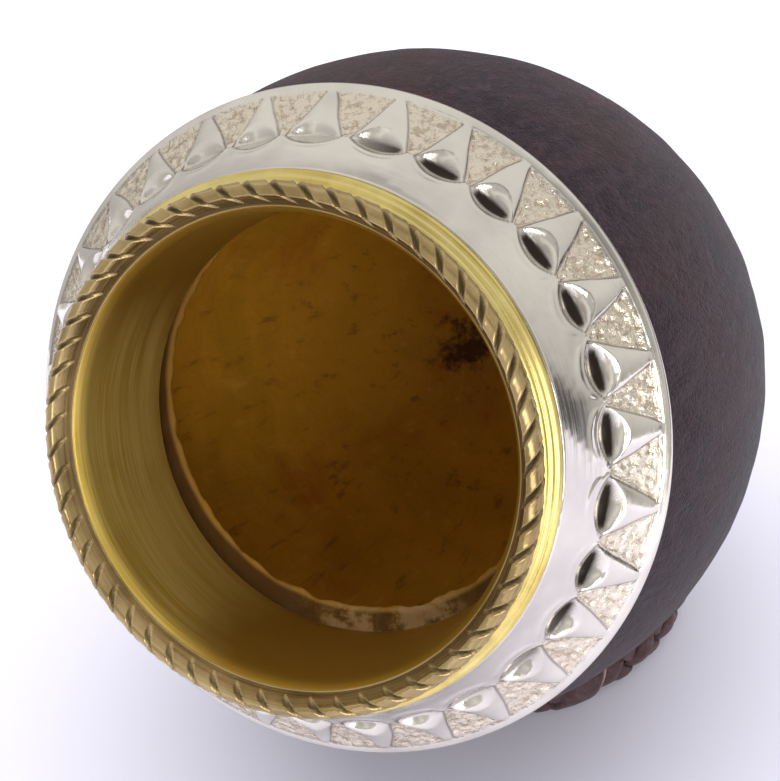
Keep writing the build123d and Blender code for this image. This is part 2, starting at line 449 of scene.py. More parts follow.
# Finishes of the metals
def scratches(tree, spot, seed, across):
    # fine lines that run round the cup, coarse ones mixed in
    fine = noiseAt(tree, stretched(tree, spot, (60.0 + seed, 60.0, across)), 1.0, 2.0, 0.6)
    coarse = noiseAt(tree, stretched(tree, spot, (25.0, 25.0 + seed, across * 0.25)), 1.0, 3.0, 0.6)
    return calc(tree, "MULTIPLY_ADD", coarse, 0.6, fine)


silverLook = {
    "bright": (0.78, 0.735, 0.66), "cool": (0.66, 0.62, 0.565), "ground": (0.78, 0.70, 0.57),
    # the hollows' colour is tarnish deepened into a painted dark reflection
    "pits": (0.56, 0.46, 0.35), "groove": (0.20, 0.15, 0.11), "tarnishAndPaintedDark": (0.020, 0.014, 0.010),
    "darkReflectionSide": 24.0,        # degrees round the cup, where the painted dark reflection in the hollows is strongest
    "roughness": 0.12, "cloudScale": 60.0, "pitScale": 1100.0, "dentScale": 220.0, "across": 5200.0,
    "scratchDepth": 0.02 * mm, "dentDepth": 0.30 * mm, "pitDepth": 0.30 * mm,
}


def makeSilver():
    look = silverLook
    material, tree, shader = newFinish("nickelSilver")
    spot = cupSpace(tree)
    cloud = noiseAt(tree, spot, look["cloudScale"], 4.0, 0.6)
    colour = blendColour(tree, fade(tree, cloud, 0.40, 0.66), look["bright"], look["cool"])
    ground = maskNamed(tree, "ground")
    pits = noiseAt(tree, spot, look["pitScale"], 3.0, 0.65)
    groundColour = blendColour(tree, fade(tree, pits, 0.36, 0.52), look["pits"], look["ground"])
    colour = blendColour(tree, ground, colour, groundColour)
    groove = calc(tree, "MULTIPLY", maskNamed(tree, "groove"), fade(tree, cloud, 0.2, 0.6, 0.35, 0.85))
    colour = blendColour(tree, groove, colour, look["groove"])
    # the hollows hold some tarnish all round, and a painted dark reflection makes them blackest on one
    # side
    facingDarkReflection = sideTowards(tree, spot, look["darkReflectionSide"])
    black = fade(tree, facingDarkReflection, 0.30, 0.66, 0.22, 1.0)
    scoop = calc(tree, "MULTIPLY", maskNamed(tree, "scoop"), black)
    colour = blendColour(tree, scoop, colour, look["tarnishAndPaintedDark"])
    tree.links.new(colour, shader.inputs["Base Color"])
    tree.links.new(calc(tree, "MULTIPLY_ADD", scoop, -1.0, 1.0), shader.inputs["Metallic"])
    shader.inputs["Specular IOR Level"].default_value = 0.05
    lines = scratches(tree, spot, 3.0, look["across"])
    rough = fade(tree, lines, 0.5, 1.1, look["roughness"] - 0.04, look["roughness"] + 0.16)
    rough = calc(tree, "MULTIPLY_ADD", ground, 0.08, rough)
    tree.links.new(rough, shader.inputs["Roughness"])
    dents = noiseAt(tree, spot, look["dentScale"], 2.0, 0.5)
    first = bumped(tree, shader, lines, look["scratchDepth"], 0.22)
    second = bumped(tree, shader, dents, look["dentDepth"], 0.40, first)
    grain = calc(tree, "MULTIPLY", pits, ground)
    bumped(tree, shader, grain, look["pitDepth"], 0.9, second)
    return material


def makeBrass(name, look):
    material, tree, shader = newFinish(name)
    spot = cupSpace(tree)
    cloud = noiseAt(tree, spot, look["cloudScale"], 4.0, 0.6)
    colour = blendColour(tree, fade(tree, cloud, 0.38, 0.64), look["light"], look["dark"])
    lines = scratches(tree, spot, look["seed"], look["across"])
    streak = fade(tree, lines, 0.62, 1.0)
    colour = blendColour(tree, calc(tree, "MULTIPLY", streak, look["streak"]), colour, look["worn"])
    groove = maskNamed(tree, "groove")
    # the rope's cuts darken here: grime in them, and painted shade
    colour = blendColour(tree, calc(tree, "MULTIPLY", groove, look["tarnishAndPaintedDark"]), colour, look["deep"])
    if look.get("shadedBrass"):
        # painted shade: the sleeve keeps its bright brass on the lit side and turns a patchy darker brown
        # elsewhere
        litShare = calc(tree, "MULTIPLY_ADD", cloud, 0.5, sideTowards(tree, spot, look["paintedLitSide"]))
        colour = blendColour(tree, fade(tree, litShare, 0.74, 1.30, 1.0, 0.0), colour, look["shadedBrass"])
    tree.links.new(colour, shader.inputs["Base Color"])
    shader.inputs["Metallic"].default_value = look["metal"]
    if look["matt"]:
        shine = calc(tree, "MULTIPLY_ADD", groove, -look["matt"], look["metal"])
        tree.links.new(shine, shader.inputs["Metallic"])
    shader.inputs["Specular IOR Level"].default_value = 0.1
    rough = fade(tree, lines, 0.45, 1.1, look["smooth"], look["rough"])
    tree.links.new(rough, shader.inputs["Roughness"])
    if look.get("brushed"):
        # scratches round the cup spread the light along its axis
        axis = layBack.to_3x3() @ Vector((0, 0, 1))
        across = addNode(tree, "ShaderNodeCombineXYZ", dict(zip("XYZ", axis))).outputs[0]
        tree.links.new(across, shader.inputs["Tangent"])
        shader.inputs["Anisotropic"].default_value = look["brushed"]
    first = bumped(tree, shader, lines, look["scratchDepth"], 0.5)
    bumped(tree, shader, noiseAt(tree, spot, 260.0, 2.0, 0.5), 0.2 * mm, look["dents"], first)
    return material


linerLook = {
    "light": (0.82, 0.60, 0.125), "dark": (0.66, 0.455, 0.075), "worn": (0.92, 0.75, 0.27),
    "shadedBrass": (0.35, 0.200, 0.026), "paintedLitSide": 200.0,     # the brown is painted shade, laid everywhere but on the lit side, degrees round the cup
    "deep": (0.10, 0.06, 0.02), "tarnishAndPaintedDark": 0.5, "cloudScale": 70.0, "seed": 7.0, "across": 3600.0,
    "streak": 0.55, "smooth": 0.34, "rough": 0.44, "scratchDepth": 0.006 * mm, "brushed": 0.55,
    "matt": 0.0, "metal": 0.80, "dents": 0.09,
}
ropeLook = {
    "light": (0.42, 0.305, 0.135), "dark": (0.28, 0.195, 0.080), "worn": (0.62, 0.48, 0.25),
    "deep": (0.035, 0.020, 0.008), "tarnishAndPaintedDark": 0.95, "cloudScale": 110.0, "seed": 2.0, "across": 2500.0,
    "streak": 0.5, "smooth": 0.18, "rough": 0.36, "scratchDepth": 0.01 * mm, "matt": 0.76, "metal": 0.86,
    "dents": 0.25,
}
bandLook = {
    "light": (0.78, 0.62, 0.20), "dark": (0.56, 0.42, 0.11), "worn": (0.90, 0.78, 0.36),
    "deep": (0.30, 0.19, 0.04), "tarnishAndPaintedDark": 0.7, "cloudScale": 120.0, "seed": 5.0, "across": 3600.0,
    "streak": 0.5, "smooth": 0.18, "rough": 0.36, "scratchDepth": 0.015 * mm, "matt": 0.0, "metal": 1.0,
    "dents": 0.25,
}


def makeCollar():
    pitch = 2 * pi / collar["petals"]
    sector = sectorMesh("collarPetals", collarRows(), collar["columns"], pitch, petalRelief, petalSpread)
    mesh = repeatRound(sector, makeSilver(), collar["petals"], collar)
    return finishPiece("collarSheet", mesh, None, "collar")


# Rope-cut rim
rope = {
    "cuts": 56,
    "start": 2.0,           # degrees, middle of the first cut
    "radius": 29.75,        # mm from the axis to its middle
    "section": 1.5,         # mm, half its thickness
    "seat": 13.65,          # height of the flange it lies on
    "height": 14.85,        # height of its middle
    "slant": 10.0,          # degrees that a cut's outer end lies ahead of its inner end
    "from": -70.0,          # where a cut starts and ends round the section, degrees
    "to": 141.0,
    "halfWidth": 0.55,
    "depth": 0.58,
    "columns": 22,
    "rows": 40,
    "drift": 0.9 * mm, "driftScale": 90.0,
    "grain": 0.0, "grainScale": 500.0,
    "seed": 9.0,
}


def ropeRelief(around, angle, radius):
    marks = {"groove": 0.0, "loose": 1.0, "ground": 0.0}
    if not rope["from"] < around < rope["to"]:
        return 0.0, marks
    t = (around - rope["from"]) / (rope["to"] - rope["from"])
    leaf = sin(pi * t) ** 0.42
    pitch = 2 * pi / rope["cuts"]
    middle = radians(rope["slant"]) * (0.5 - t)
    beside = (angle - middle + pitch / 2) % pitch - pitch / 2
    off = beside * radius / mm / (rope["halfWidth"] * max(leaf, 0.05))
    if abs(off) < 1:
        marks["groove"] = leaf * smoothStep(1 - abs(off), 0.0, 0.55)
        sunk = min((1 - abs(off)) * 1.5, 1.0)
        return -rope["depth"] * leaf * sunk * mm, marks
    return 0.08 * mm * leaf * exp(-((abs(off) - 1.25) / 0.4) ** 2), marks


def makeRope():
    rows = []
    for i in range(rope["rows"]):
        around = 200.0 - 360.0 * i / rope["rows"]
        out = (cos(radians(around)), sin(radians(around)))
        reach, height = rope["section"] * out[0], rope["height"] + rope["section"] * out[1]
        if out[0] < 0 and around > 90:
            # the inside rounds over and runs straight down to the sleeve's bevel
            share = min((around - 90) / 90, 1.0)
            reach = -rope["section"] * share
            height = rope["height"] + rope["section"] - (rope["section"] + 1.3) * share ** 1.2
        height = max(height, rope["seat"] - 0.1)
        rows.append(((rope["radius"] + reach) * mm, height * mm, out, around))
    sector = sectorMesh("ropeRim", rows, rope["columns"], 2 * pi / rope["cuts"], ropeRelief)
    mesh = repeatRound(sector, makeBrass("ropeBrass", ropeLook), rope["cuts"], rope)
    return finishPiece("ropeRim", mesh, None, "rope_rim")


# Beaded band between the rim and the collar
band = {
    "inner": (30.5, 13.0), "outer": (32.4, 11.9),    # radius and height of its edges, mm
    "seat": 11.2,             # height of the collar it lies on
    "beads": 3, "crown": 0.08, "steps": 8,
}


def makeBand():
    inner, outer = Vector(band["inner"]), Vector(band["outer"])
    run = (outer - inner) / band["beads"]
    out = Vector((-run.y, run.x)).normalized()
    outline = []
    for bead in range(band["beads"]):
        for i in range(band["steps"]):
            t = i / band["steps"]
            spot = inner + run * (bead + t) + out * band["crown"] * sin(pi * t) ** 0.7
            outline.append((spot.x, spot.y))
    innerEdge, outerEdge, seat = band["inner"][0], band["outer"][0], band["seat"]
    outline += [band["outer"], (outerEdge, 11.6), (outerEdge, seat), (31.4, seat)]
    outline += [(innerEdge, seat), (innerEdge, 12.2)]
    mesh = turnedMesh("beadedBand", inMillimetres(outline), 360)
    mesh.transform(cupPlace)
    return finishPiece("beadedBand", mesh, makeBrass("bandBrass", bandLook), "brass_band")


# Brass sleeve of the mouth
liner = {
    "bore": 27.6,             # mm, its radius inside
    "outside": 28.3,
    "foot": -5.3,             # height of its lower end
    "flange": (28.9, 30.3),   # radii between which the rope's flange runs
    "flangeHeights": (13.05, 13.65),
}


def makeLiner():
    bore, outside = liner["bore"], liner["outside"]
    root, reach = liner["flange"]
    under, top = liner["flangeHeights"]
    outline = [(root, top), (reach, top), (reach, under), (root, under), (outside, 12.45), (outside, 4.0)]
    outline += [(outside, liner["foot"])] + arc((28.05, -5.25), 0.25, 0, -180, 7)
    # the foot opens a little, and a bevel runs up under the rope
    outline += [(27.78, -4.9), (27.68, -4.4), (27.62, -3.8)] + straight((bore, -3.2), (bore, 11.2), 20)
    outline += [(bore, 11.6), (27.62, 12.1), (27.7, 12.5), (27.82, 12.87)]
    outline += [(27.98, 13.22), (28.2, 13.62), (28.45, 13.98), (28.7, 14.0)]
    mesh = turnedMesh("mouthSleeve", inMillimetres(outline), 360)
    mesh.transform(cupPlace)
    return finishPiece("mouthSleeve", mesh, makeBrass("sleeveBrass", linerLook), "brass_liner")


# Gourd: the shell, with its rough cut edge under the sleeve
gourd = {
    "outerRadius": 45.5, "outerLength": 58.4, "innerRadius": 38.5, "innerLength": 50.4,
    "edgeHeight": -8.5, "edgeRadius": 27.2, "edgeShift": 1.6, "edgeTowards": 117.0,
    "chipScale": 330, "chips": 0.45, "lumpScale": 60, "lumps": 0.5, "liftScale": 240, "lift": 0.35,
}


def eggPoint(radius, length, angle):
    # a point of the egg's outline, angle in degrees up from its widest girth
    drop = cup["drop"] / mm
    return radius * cos(radians(angle)), length * sin(radians(angle)) - drop


def gourdShape(point):
    # the cut edge is off centre and chipped, the inside is lumpy
    radius, height = hypot(point.x, point.y) / mm, point.z / mm
    if radius > 39.5 or radius < 0.01 or height > -6.2:
        return point
    nearEdge = exp(-((height - gourd["edgeHeight"]) / 2.2) ** 2) * (1 if radius < 31.5 else 0)
    shift = towards(gourd["edgeTowards"]) * gourd["edgeShift"] * nearEdge
    chips = noise.fractal(point * gourd["chipScale"], 0.8, 2.2, 4) * gourd["chips"] * nearEdge
    lumps = noise.fractal(point * gourd["lumpScale"] + Vector((3, 1, 7)), 0.9, 2.0, 3)
    lumps = lumps * gourd["lumps"] * (1 - nearEdge)
    outward = Vector((point.x, point.y, 0)).normalized()
    lift = noise.noise(point * gourd["liftScale"]) * gourd["lift"] * nearEdge
    return point + (shift + outward * (lumps + chips) + Vector((0, 0, lift))) * mm


def makeGourd():
    inside = [eggPoint(gourd["innerRadius"], gourd["innerLength"], a) for a in range(-90, 28, 2)]
    inside = [(max(r, 0.0) if i else 0.0, h) for i, (r, h) in enumerate(inside)]
    edge = gourd["edgeRadius"]
    outline = inside + [(31.6, -10.6), (29.4, -10.2), (27.9, -9.7), (edge + 0.1, -9.2), (edge, -8.8)]
    outline += [(edge + 0.25, -8.5), (edge + 0.8, -8.35), (edge + 1.5, -8.3), (edge + 2.2, -8.2)]
    outline += [(30.3, -7.9)]
    outline += [(30.4, -7.0), (30.2, -5.9), (28.45, -5.75), (28.45, 3.0), (28.45, 10.2), (31.0, 10.2)]
    outline += [(34.4, 4.1), (37.2, -0.9), (37.4, -0.95)]
    outside = [eggPoint(gourd["outerRadius"], gourd["outerLength"], a) for a in range(34, -90, -4)]
    outline += outside + [(0.0, -gourd["outerLength"] - cup["drop"] / mm)]
    mesh = turnedMesh("gourdShell", inMillimetres(outline), 360, closed=False, shape=gourdShape)
    mesh.transform(cupPlace)
    return finishPiece("gourdShell", mesh, makeGourdFinish(), "gourd")


gourdLook = {
    "amber": (0.53, 0.255, 0.017), "olive": (0.44, 0.222, 0.014), "rust": (0.40, 0.135, 0.013),
    "pale": (0.34, 0.205, 0.088), "edge": (0.25, 0.125, 0.020), "scar": (0.05, 0.018, 0.006),
    "fibre": (0.64, 0.34, 0.05), "sleeveShade": (0.085, 0.036, 0.006),
    "chippedSide": -79.0,      # degrees round the cup
    "scarSpot": (-10.7 * mm, -2.9 * mm, -82.5 * mm),
}


def makeGourdFinish():
    look = gourdLook
    material, tree, shader = newFinish("gourdInside")
    spot = cupSpace(tree)
    cloud = noiseAt(tree, spot, 55.0, 5.0, 0.62, 0.6)
    rusty = noiseAt(tree, vectorCalc(tree, "ADD", spot, (0.4, 0.1, 0.2)), 38.0, 4.0, 0.6, 0.4)
    colour = blendColour(tree, fade(tree, cloud, 0.38, 0.62), look["olive"], look["amber"])
    colour = blendColour(tree, fade(tree, rusty, 0.52, 0.76), colour, look["rust"])
    fibres = noiseAt(tree, stretched(tree, spot, (420.0, 420.0, 60.0)), 1.0, 4.0, 0.65)
    colour = blendColour(tree, fade(tree, fibres, 0.56, 0.74, 0.0, 0.45), colour, look["fibre"])
    colour = blendColour(tree, fade(tree, fibres, 0.44, 0.28, 0.0, 0.5), colour, look["scar"])
    height = addNode(tree, "ShaderNodeSeparateXYZ", {"Vector": spot}).outputs["Z"]
    flat = vectorCalc(tree, "MULTIPLY", spot, (1.0, 1.0, 0.0))
    shift = towards(gourd["edgeTowards"]) * gourd["edgeShift"] * mm
    radius = vectorCalc(tree, "DISTANCE", flat, shift, out="Value")
    # the cut edge is tan, and pale where flakes came off on one side
    flakes = noiseAt(tree, spot, 260.0, 6.0, 0.72)
    loosened = calc(tree, "SUBTRACT", flakes, 0.5)
    ragged = calc(tree, "MULTIPLY_ADD", loosened, 5 * mm, height)
    edge = fade(tree, ragged, -11.8 * mm, -9.2 * mm)
    colour = blendColour(tree, calc(tree, "MULTIPLY", edge, 0.85), colour, look["edge"])
    side = sideTowards(tree, spot, look["chippedSide"])
    ragged = calc(tree, "MULTIPLY_ADD", loosened, 18 * mm, height)
    nearEdge = fade(tree, ragged, -12.5 * mm, -10.5 * mm)
    pale = calc(tree, "MULTIPLY", nearEdge, fade(tree, side, 0.86, 0.98))
    pale = calc(tree, "MULTIPLY", pale, fade(tree, flakes, 0.42, 0.60, 0.05, 0.9))
    colour = blendColour(tree, pale, colour, look["pale"])
    # painted shade in the gap under the sleeve
    ledge = calc(tree, "MULTIPLY", fade(tree, radius, 27.4 * mm, 28.1 * mm),
                 fade(tree, height, -9.4 * mm, -8.6 * mm))
    ledge = calc(tree, "MULTIPLY", ledge, calc(tree, "MULTIPLY_ADD", pale, -0.95, 1.0))
    recess = calc(tree, "MAXIMUM", fade(tree, height, -7.9 * mm, -7.2 * mm), ledge)
    colour = blendColour(tree, recess, colour, look["sleeveShade"])
    # an old dark scar where the stalk grew
    mark = vectorCalc(tree, "DISTANCE", spot, look["scarSpot"], out="Value")
    mark = calc(tree, "MULTIPLY_ADD", loosened, 22 * mm, mark)
    blot = fade(tree, mark, 5.8 * mm, 1.6 * mm, 0.0, 0.92)
    colour = blendColour(tree, blot, colour, look["scar"])
    tree.links.new(colour, shader.inputs["Base Color"])
    rough = fade(tree, cloud, 0.3, 0.7, 0.50, 0.78)
    tree.links.new(rough, shader.inputs["Roughness"])
    shader.inputs["Specular IOR Level"].default_value = 0.12
    first = bumped(tree, shader, fibres, 0.4 * mm, 0.5)
    bumped(tree, shader, noiseAt(tree, spot, 130.0, 5.0, 0.6), 1.5 * mm, 0.5, first)
    return material


# Leather cover
leather = {
    "steps": 320, "rows": 150, "innerRows": 30,
    "topHeight": -0.9,        # mm from the lip to its upper edge
    "crease": 0.16, "creasesAcross": 130, "creasesAlong": 32,
}


def leatherShape(point):
    # slack creases that run mostly along the cup
    if hypot(point.x, point.y) < 1 * mm:
        return point
    across, along = leather["creasesAcross"], leather["creasesAlong"]
    broad = noise.fractal(Vector((point.x * across, point.y * across, point.z * along)), 1.0, 2.0, 3)
    outward = Vector((point.x, point.y, (point.z + cup["drop"]) * 0.6)).normalized()
    calm = 1 - smoothStep(point.z / mm, -4.0, -1.0)
    return point + outward * (broad * leather["crease"] - 0.1) * mm * calm


def makeLeatherFinish(name, look):
    material, tree, shader = newFinish(name)
    spot = cupSpace(tree)
    cloud = noiseAt(tree, spot, look["cloudScale"], 5.0, 0.65, 0.5)
    streaks = noiseAt(tree, stretched(tree, spot, look["streakScale"]), 1.0, 6.0, 0.74, 0.8)
    colour = blendColour(tree, fade(tree, cloud, 0.36, 0.64), look["plum"], look["brown"])
    colour = blendColour(tree, fade(tree, streaks, 0.42, 0.66, 0.0, 0.72), colour, look["light"])
    ruddy = noiseAt(tree, stretched(tree, spot, look["ruddyScale"]), 1.0, 5.0, 0.7, 1.0)
    colour = blendColour(tree, fade(tree, ruddy, 0.52, 0.72, 0.0, 0.8), colour, look["ruddy"])
    grain = addNode(tree, "ShaderNodeTexVoronoi", {"Vector": spot, "Scale": look["grainScale"]},
                    feature="DISTANCE_TO_EDGE").outputs["Distance"]
    wrinkle = fade(tree, grain, 0.0, 0.12)
    colour = blendColour(tree, fade(tree, grain, 0.05, 0.0, 0.0, 0.35), colour, look["dark"])
    if look.get("raw"):
        colour = blendColour(tree, maskNamed(tree, "raw"), colour, look["raw"])
    tree.links.new(colour, shader.inputs["Base Color"])
    rough = fade(tree, streaks, 0.3, 0.7, look["smooth"], look["rough"])
    tree.links.new(rough, shader.inputs["Roughness"])
    shader.inputs["Specular IOR Level"].default_value = 0.21
    shader.inputs["Sheen Weight"].default_value = 0.11
    shader.inputs["Sheen Roughness"].default_value = 0.4
    first = bumped(tree, shader, wrinkle, look["wrinkleDepth"], 0.7)
    second = bumped(tree, shader, streaks, look["streakDepth"], 0.75, first)
    creases = noiseAt(tree, stretched(tree, spot, look["creaseScale"]), 1.0, 4.0, 0.6, 1.2)
    bumped(tree, shader, creases, look["creaseDepth"], 0.45, second)
    return material


coverLook = {
    "plum": (0.012, 0.006, 0.012), "brown": (0.026, 0.008, 0.010), "light": (0.050, 0.025, 0.034),
    "dark": (0.006, 0.003, 0.005), "ruddy": (0.060, 0.018, 0.020),
    "cloudScale": 45.0, "grainScale": 1300.0, "smooth": 0.55, "rough": 0.72,
    "streakScale": (560.0, 560.0, 300.0), "ruddyScale": (70.0, 70.0, 30.0),
    "creaseScale": (90.0, 90.0, 35.0),
    "wrinkleDepth": 0.09 * mm, "streakDepth": 0.6 * mm, "creaseDepth": 1.6 * mm,
}
laceLook = {
    **coverLook,
    "plum": (0.088, 0.044, 0.050), "brown": (0.066, 0.027, 0.024), "light": (0.150, 0.090, 0.100),
    "dark": (0.020, 0.010, 0.010), "ruddy": (0.120, 0.048, 0.040), "raw": (0.46, 0.33, 0.24),
    "cloudScale": 160.0, "grainScale": 1800.0, "smooth": 0.40, "rough": 0.60,
}
# near black: painted shade for the gaps between the laces
shadedCoreLook = {
    **laceLook,
    "plum": (0.016, 0.008, 0.008), "brown": (0.014, 0.006, 0.005), "light": (0.022, 0.012, 0.011),
    "ruddy": (0.020, 0.008, 0.006),
}


def makeLeather():
    radius, length, drop = bodyRadius / mm, cup["halfLength"] / mm, cup["drop"] / mm
    rim = degrees(asin((leather["topHeight"] + drop) / length))
    count, innerCount = leather["rows"], leather["innerRows"]
    sweep = rim + 90
    outline = [eggPoint(radius, length, rim - sweep * i / count) for i in range(count)]
    wall = cup["leatherWall"] / mm
    outline += [(0.0, -length - drop), (0.0, -length - drop + wall)]
    for i in range(innerCount):
        outline.append(eggPoint(radius - wall, length - wall, -90 + sweep * (i + 1) / innerCount))
    mesh = turnedMesh("leatherCover", inMillimetres(outline), leather["steps"], shape=leatherShape)
    mesh.transform(cupPlace)
    finish = makeLeatherFinish("coverLeather", coverLook)
    return finishPiece("leatherCover", mesh, finish, "leather_cover")


# Braided ring: flat laces wound both ways round a core, over one and under one
ring = {
    "halfWidth": 4.8, "halfHeight": 4.6, "flat": 0.5, "radius": 28.8,
    "laces": 4,             # laces each way
    "turns": 7,             # times each lace goes round the section
    "laceWidth": 3.9, "laceThickness": 0.9, "weave": 0.55, "curl": 1.1, "curlAcross": 4.7,
    "laceDepth": 0.75,      # mm from the ring's surface in to the middle of a lace
    "laceSection": (        # across and up, as shares of half the width and of the thickness
        (-1, -0.35), (-0.8, 0.15), (-0.3, 0.42), (0.3, 0.42),
        (0.8, 0.15), (1, -0.35), (0.5, -0.5), (-0.5, -0.5),
    ),
    "coreDepth": 1.35, "coreAlong": 160, "coreAbout": 20,
    "stepsAlong": 420,
    "wrapAt": -41.0,        # degrees round the ring, where the wrapped lace is cut off
    "wrapWidth": 12.0, "wrapSkew": 4.0,
    "wrapFrom": -80.0, "wrapTo": 175.0, "wrapSteps": 40,
    "wrapOutline": (        # share of its width, mm out from the ring's surface, raw edge or not
        (0.0, -0.6, 0.0), (0.03, 0.15, 0.0), (0.12, 0.45, 0.0), (0.5, 0.55, 0.0), (0.86, 0.5, 0.0),
        (0.93, 0.42, 0.9), (0.985, 0.15, 1.0), (1.0, -0.3, 1.0), (0.98, -0.7, 0.2),
    ),
}
ringLow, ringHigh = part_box("braided_ring")
ringCentre = Vector(((ringLow.x + ringHigh.x) / 2, (ringLow.y + ringHigh.y) / 2, 0))


def onRing(around, section, rise):
    # a place on the ring: angle round it, angle round its section, mm out from its surface
    reach = ring["halfWidth"] + rise
    lift = ring["halfHeight"] + rise
    radius = (ring["radius"] + reach * cos(section)) * mm
    height = (ring["halfHeight"] - ring["flat"] + lift * sin(section)) * mm
    return ringCentre + Vector((radius * cos(around), radius * sin(around), height))


def clearOfCup(point, gap=0.08):
    # keeps a lace off the floor and out of the cup that lies on it
    backToCup = layBack.inverted() @ (point - bodyCentre)
    radius, length = bodyRadius + gap * mm, cup["halfLength"] + gap * mm
    size = sqrt((backToCup.x ** 2 + backToCup.y ** 2) / radius ** 2 + backToCup.z ** 2 / length ** 2)
    if size < 1:
        point = bodyCentre + layBack @ (backToCup / size)
    return Vector((point.x, point.y, max(point.z, 0.05 * mm)))


def gridFaces(along, about, closed):
    # quads over a tube of points, laid out ring after ring
    faces = []
    for i in range(along if closed else along - 1):
        here, after = i * about, (i + 1) % along * about
        for k in range(about):
            j = (k + 1) % about
            faces.append((here + k, after + k, after + j, here + j))
    return faces


def finishRingPiece(name, points, faces, finish, nodeName=None):
    mesh = bpy.data.meshes.new(name)
    mesh.from_pydata(points, [], faces)
    work = bmesh.new()
    work.from_mesh(mesh)
    bmesh.ops.recalc_face_normals(work, faces=work.faces)
    work.to_mesh(mesh)
    work.free()
    mesh.shade_smooth()
    piece = finishPiece(name, mesh, finish, nodeName)
    return piece


def lacePoints(way, lace):
    # one lace all the way round the ring, winding one way or the other
    points = []
    for i in range(ring["stepsAlong"]):
        around = 2 * pi * i / ring["stepsAlong"]
        section = way * ring["turns"] * around + 2 * pi * lace / ring["laces"]
        rise = way * cos(ring["laces"] * ring["turns"] * around) * ring["weave"] - ring["laceDepth"]
        here = onRing(around, section, rise)
        ahead = onRing(around + 0.002, section + way * ring["turns"] * 0.002, rise)
        outward = (onRing(around, section, 1.0) - onRing(around, section, 0.0)).normalized()
        forward = (ahead - here).normalized()
        across = outward.cross(forward).normalized()
        for side, up in ring["laceSection"]:
            wide = side * ring["laceWidth"] / 2
            curl = -(wide / ring["curlAcross"]) ** 2 * ring["curl"]
            spot = here + (across * wide + outward * (up * ring["laceThickness"] + curl)) * mm
            points.append(clearOfCup(spot))
    return points


def makeRing():
    points, faces = [], []
    for way in (1, -1):
        for lace in range(ring["laces"]):
            start = len(points)
            points += lacePoints(way, lace)
            for face in gridFaces(ring["stepsAlong"], len(ring["laceSection"]), True):
                faces.append(tuple(start + corner for corner in face))
    lace = makeLeatherFinish("laceLeather", laceLook)
    finishRingPiece("braidedLaces", points, faces, lace, "braided_ring")

    # a core closes the gaps between the laces; its near-black colour is painted shade in the gaps
    core = []
    along, about = ring["coreAlong"], ring["coreAbout"]
    for i in range(along):
        for k in range(about):
            spot = onRing(2 * pi * i / along, -2 * pi * k / about, -ring["coreDepth"])
            core.append(clearOfCup(spot, 0.15))
    finish = makeLeatherFinish("coreLeatherShade", shadedCoreLook)
    finishRingPiece("ringCore", core, gridFaces(along, about, True), finish)

    # one lace is wrapped round the ring and cut off, its raw edge shows pale
    wrap, raw = [], []
    for i in range(ring["wrapSteps"] + 1):
        section = radians(ring["wrapFrom"] + (ring["wrapTo"] - ring["wrapFrom"]) * i / ring["wrapSteps"])
        for share, rise, mark in ring["wrapOutline"]:
            skew = ring["wrapSkew"] * sin(section)
            around = radians(ring["wrapAt"] - ring["wrapWidth"] * (1 - share) + skew)
            wrap.append(clearOfCup(onRing(around, section, rise), 0.12))
            raw.append(mark)
    count = len(ring["wrapOutline"])
    wrapFaces = gridFaces(ring["wrapSteps"] + 1, count, False)
    wrapFaces += [tuple(range(count))[::-1], tuple(ring["wrapSteps"] * count + k for k in range(count))]
    piece = finishRingPiece("wrapLace", wrap, wrapFaces, lace)
    attribute = piece.data.attributes.new("raw", "FLOAT", "POINT")
    attribute.data.foreach_set("value", raw)


print("turning the metal mouth")
makeCollar()
makeRope()
makeBand()
makeLiner()
print("shaping the gourd and its cover")
makeGourd()
makeLeather()
print("braiding the ring")
makeRing()


# Stage
stage = {
    "floorSize": 0.9,
    "floorColour": (0.80, 0.785, 0.90),
    "floorGlow": 0.04,
    "fadeFrom": 0.18, "fadeTo": 0.44, "farGlow": 0.5,
    "skyColour": (1.0, 0.985, 0.965),
    "roomColour": (0.93, 0.94, 1.0),
    "roomStrength": 0.57,       # what the room adds to matt surfaces
    "mirrorStrength": 0.80,     # how bright the room looks in the metal
    "wallTowards": (0.55, 0.83, 0.0), "wallDarkness": 0.78, "slatScale": 7.0,
    "personTowards": (0.34, -0.74, 0.58), "personLight": 0.34,
}
lamps = {
    "keyLamp": {"power": 8.8, "size": 1.30, "spot": (-0.06, 0.13, 0.80), "colour": (1.0, 0.985, 0.96),
                "mirrored": False},
    "windowLamp": {"power": 1.22, "size": 0.30, "spot": (0.33, -0.48, 0.20), "colour": (1.0, 0.98, 0.94),
                   "mirrored": True},
    "fillLamp": {"power": 0.45, "size": 0.7, "spot": (0.10, -0.60, 0.40), "colour": (1.0, 0.98, 0.95),
                 "mirrored": True},
}


def seenOrMirrored(tree):
    # 1 for what the camera sees straight, in a mirror or through glass
    path = addNode(tree, "ShaderNodeLightPath").outputs
    seen = calc(tree, "MAXIMUM", path["Is Camera Ray"], path["Is Glossy Ray"])
    return calc(tree, "MAXIMUM", seen, path["Is Transmission Ray"])


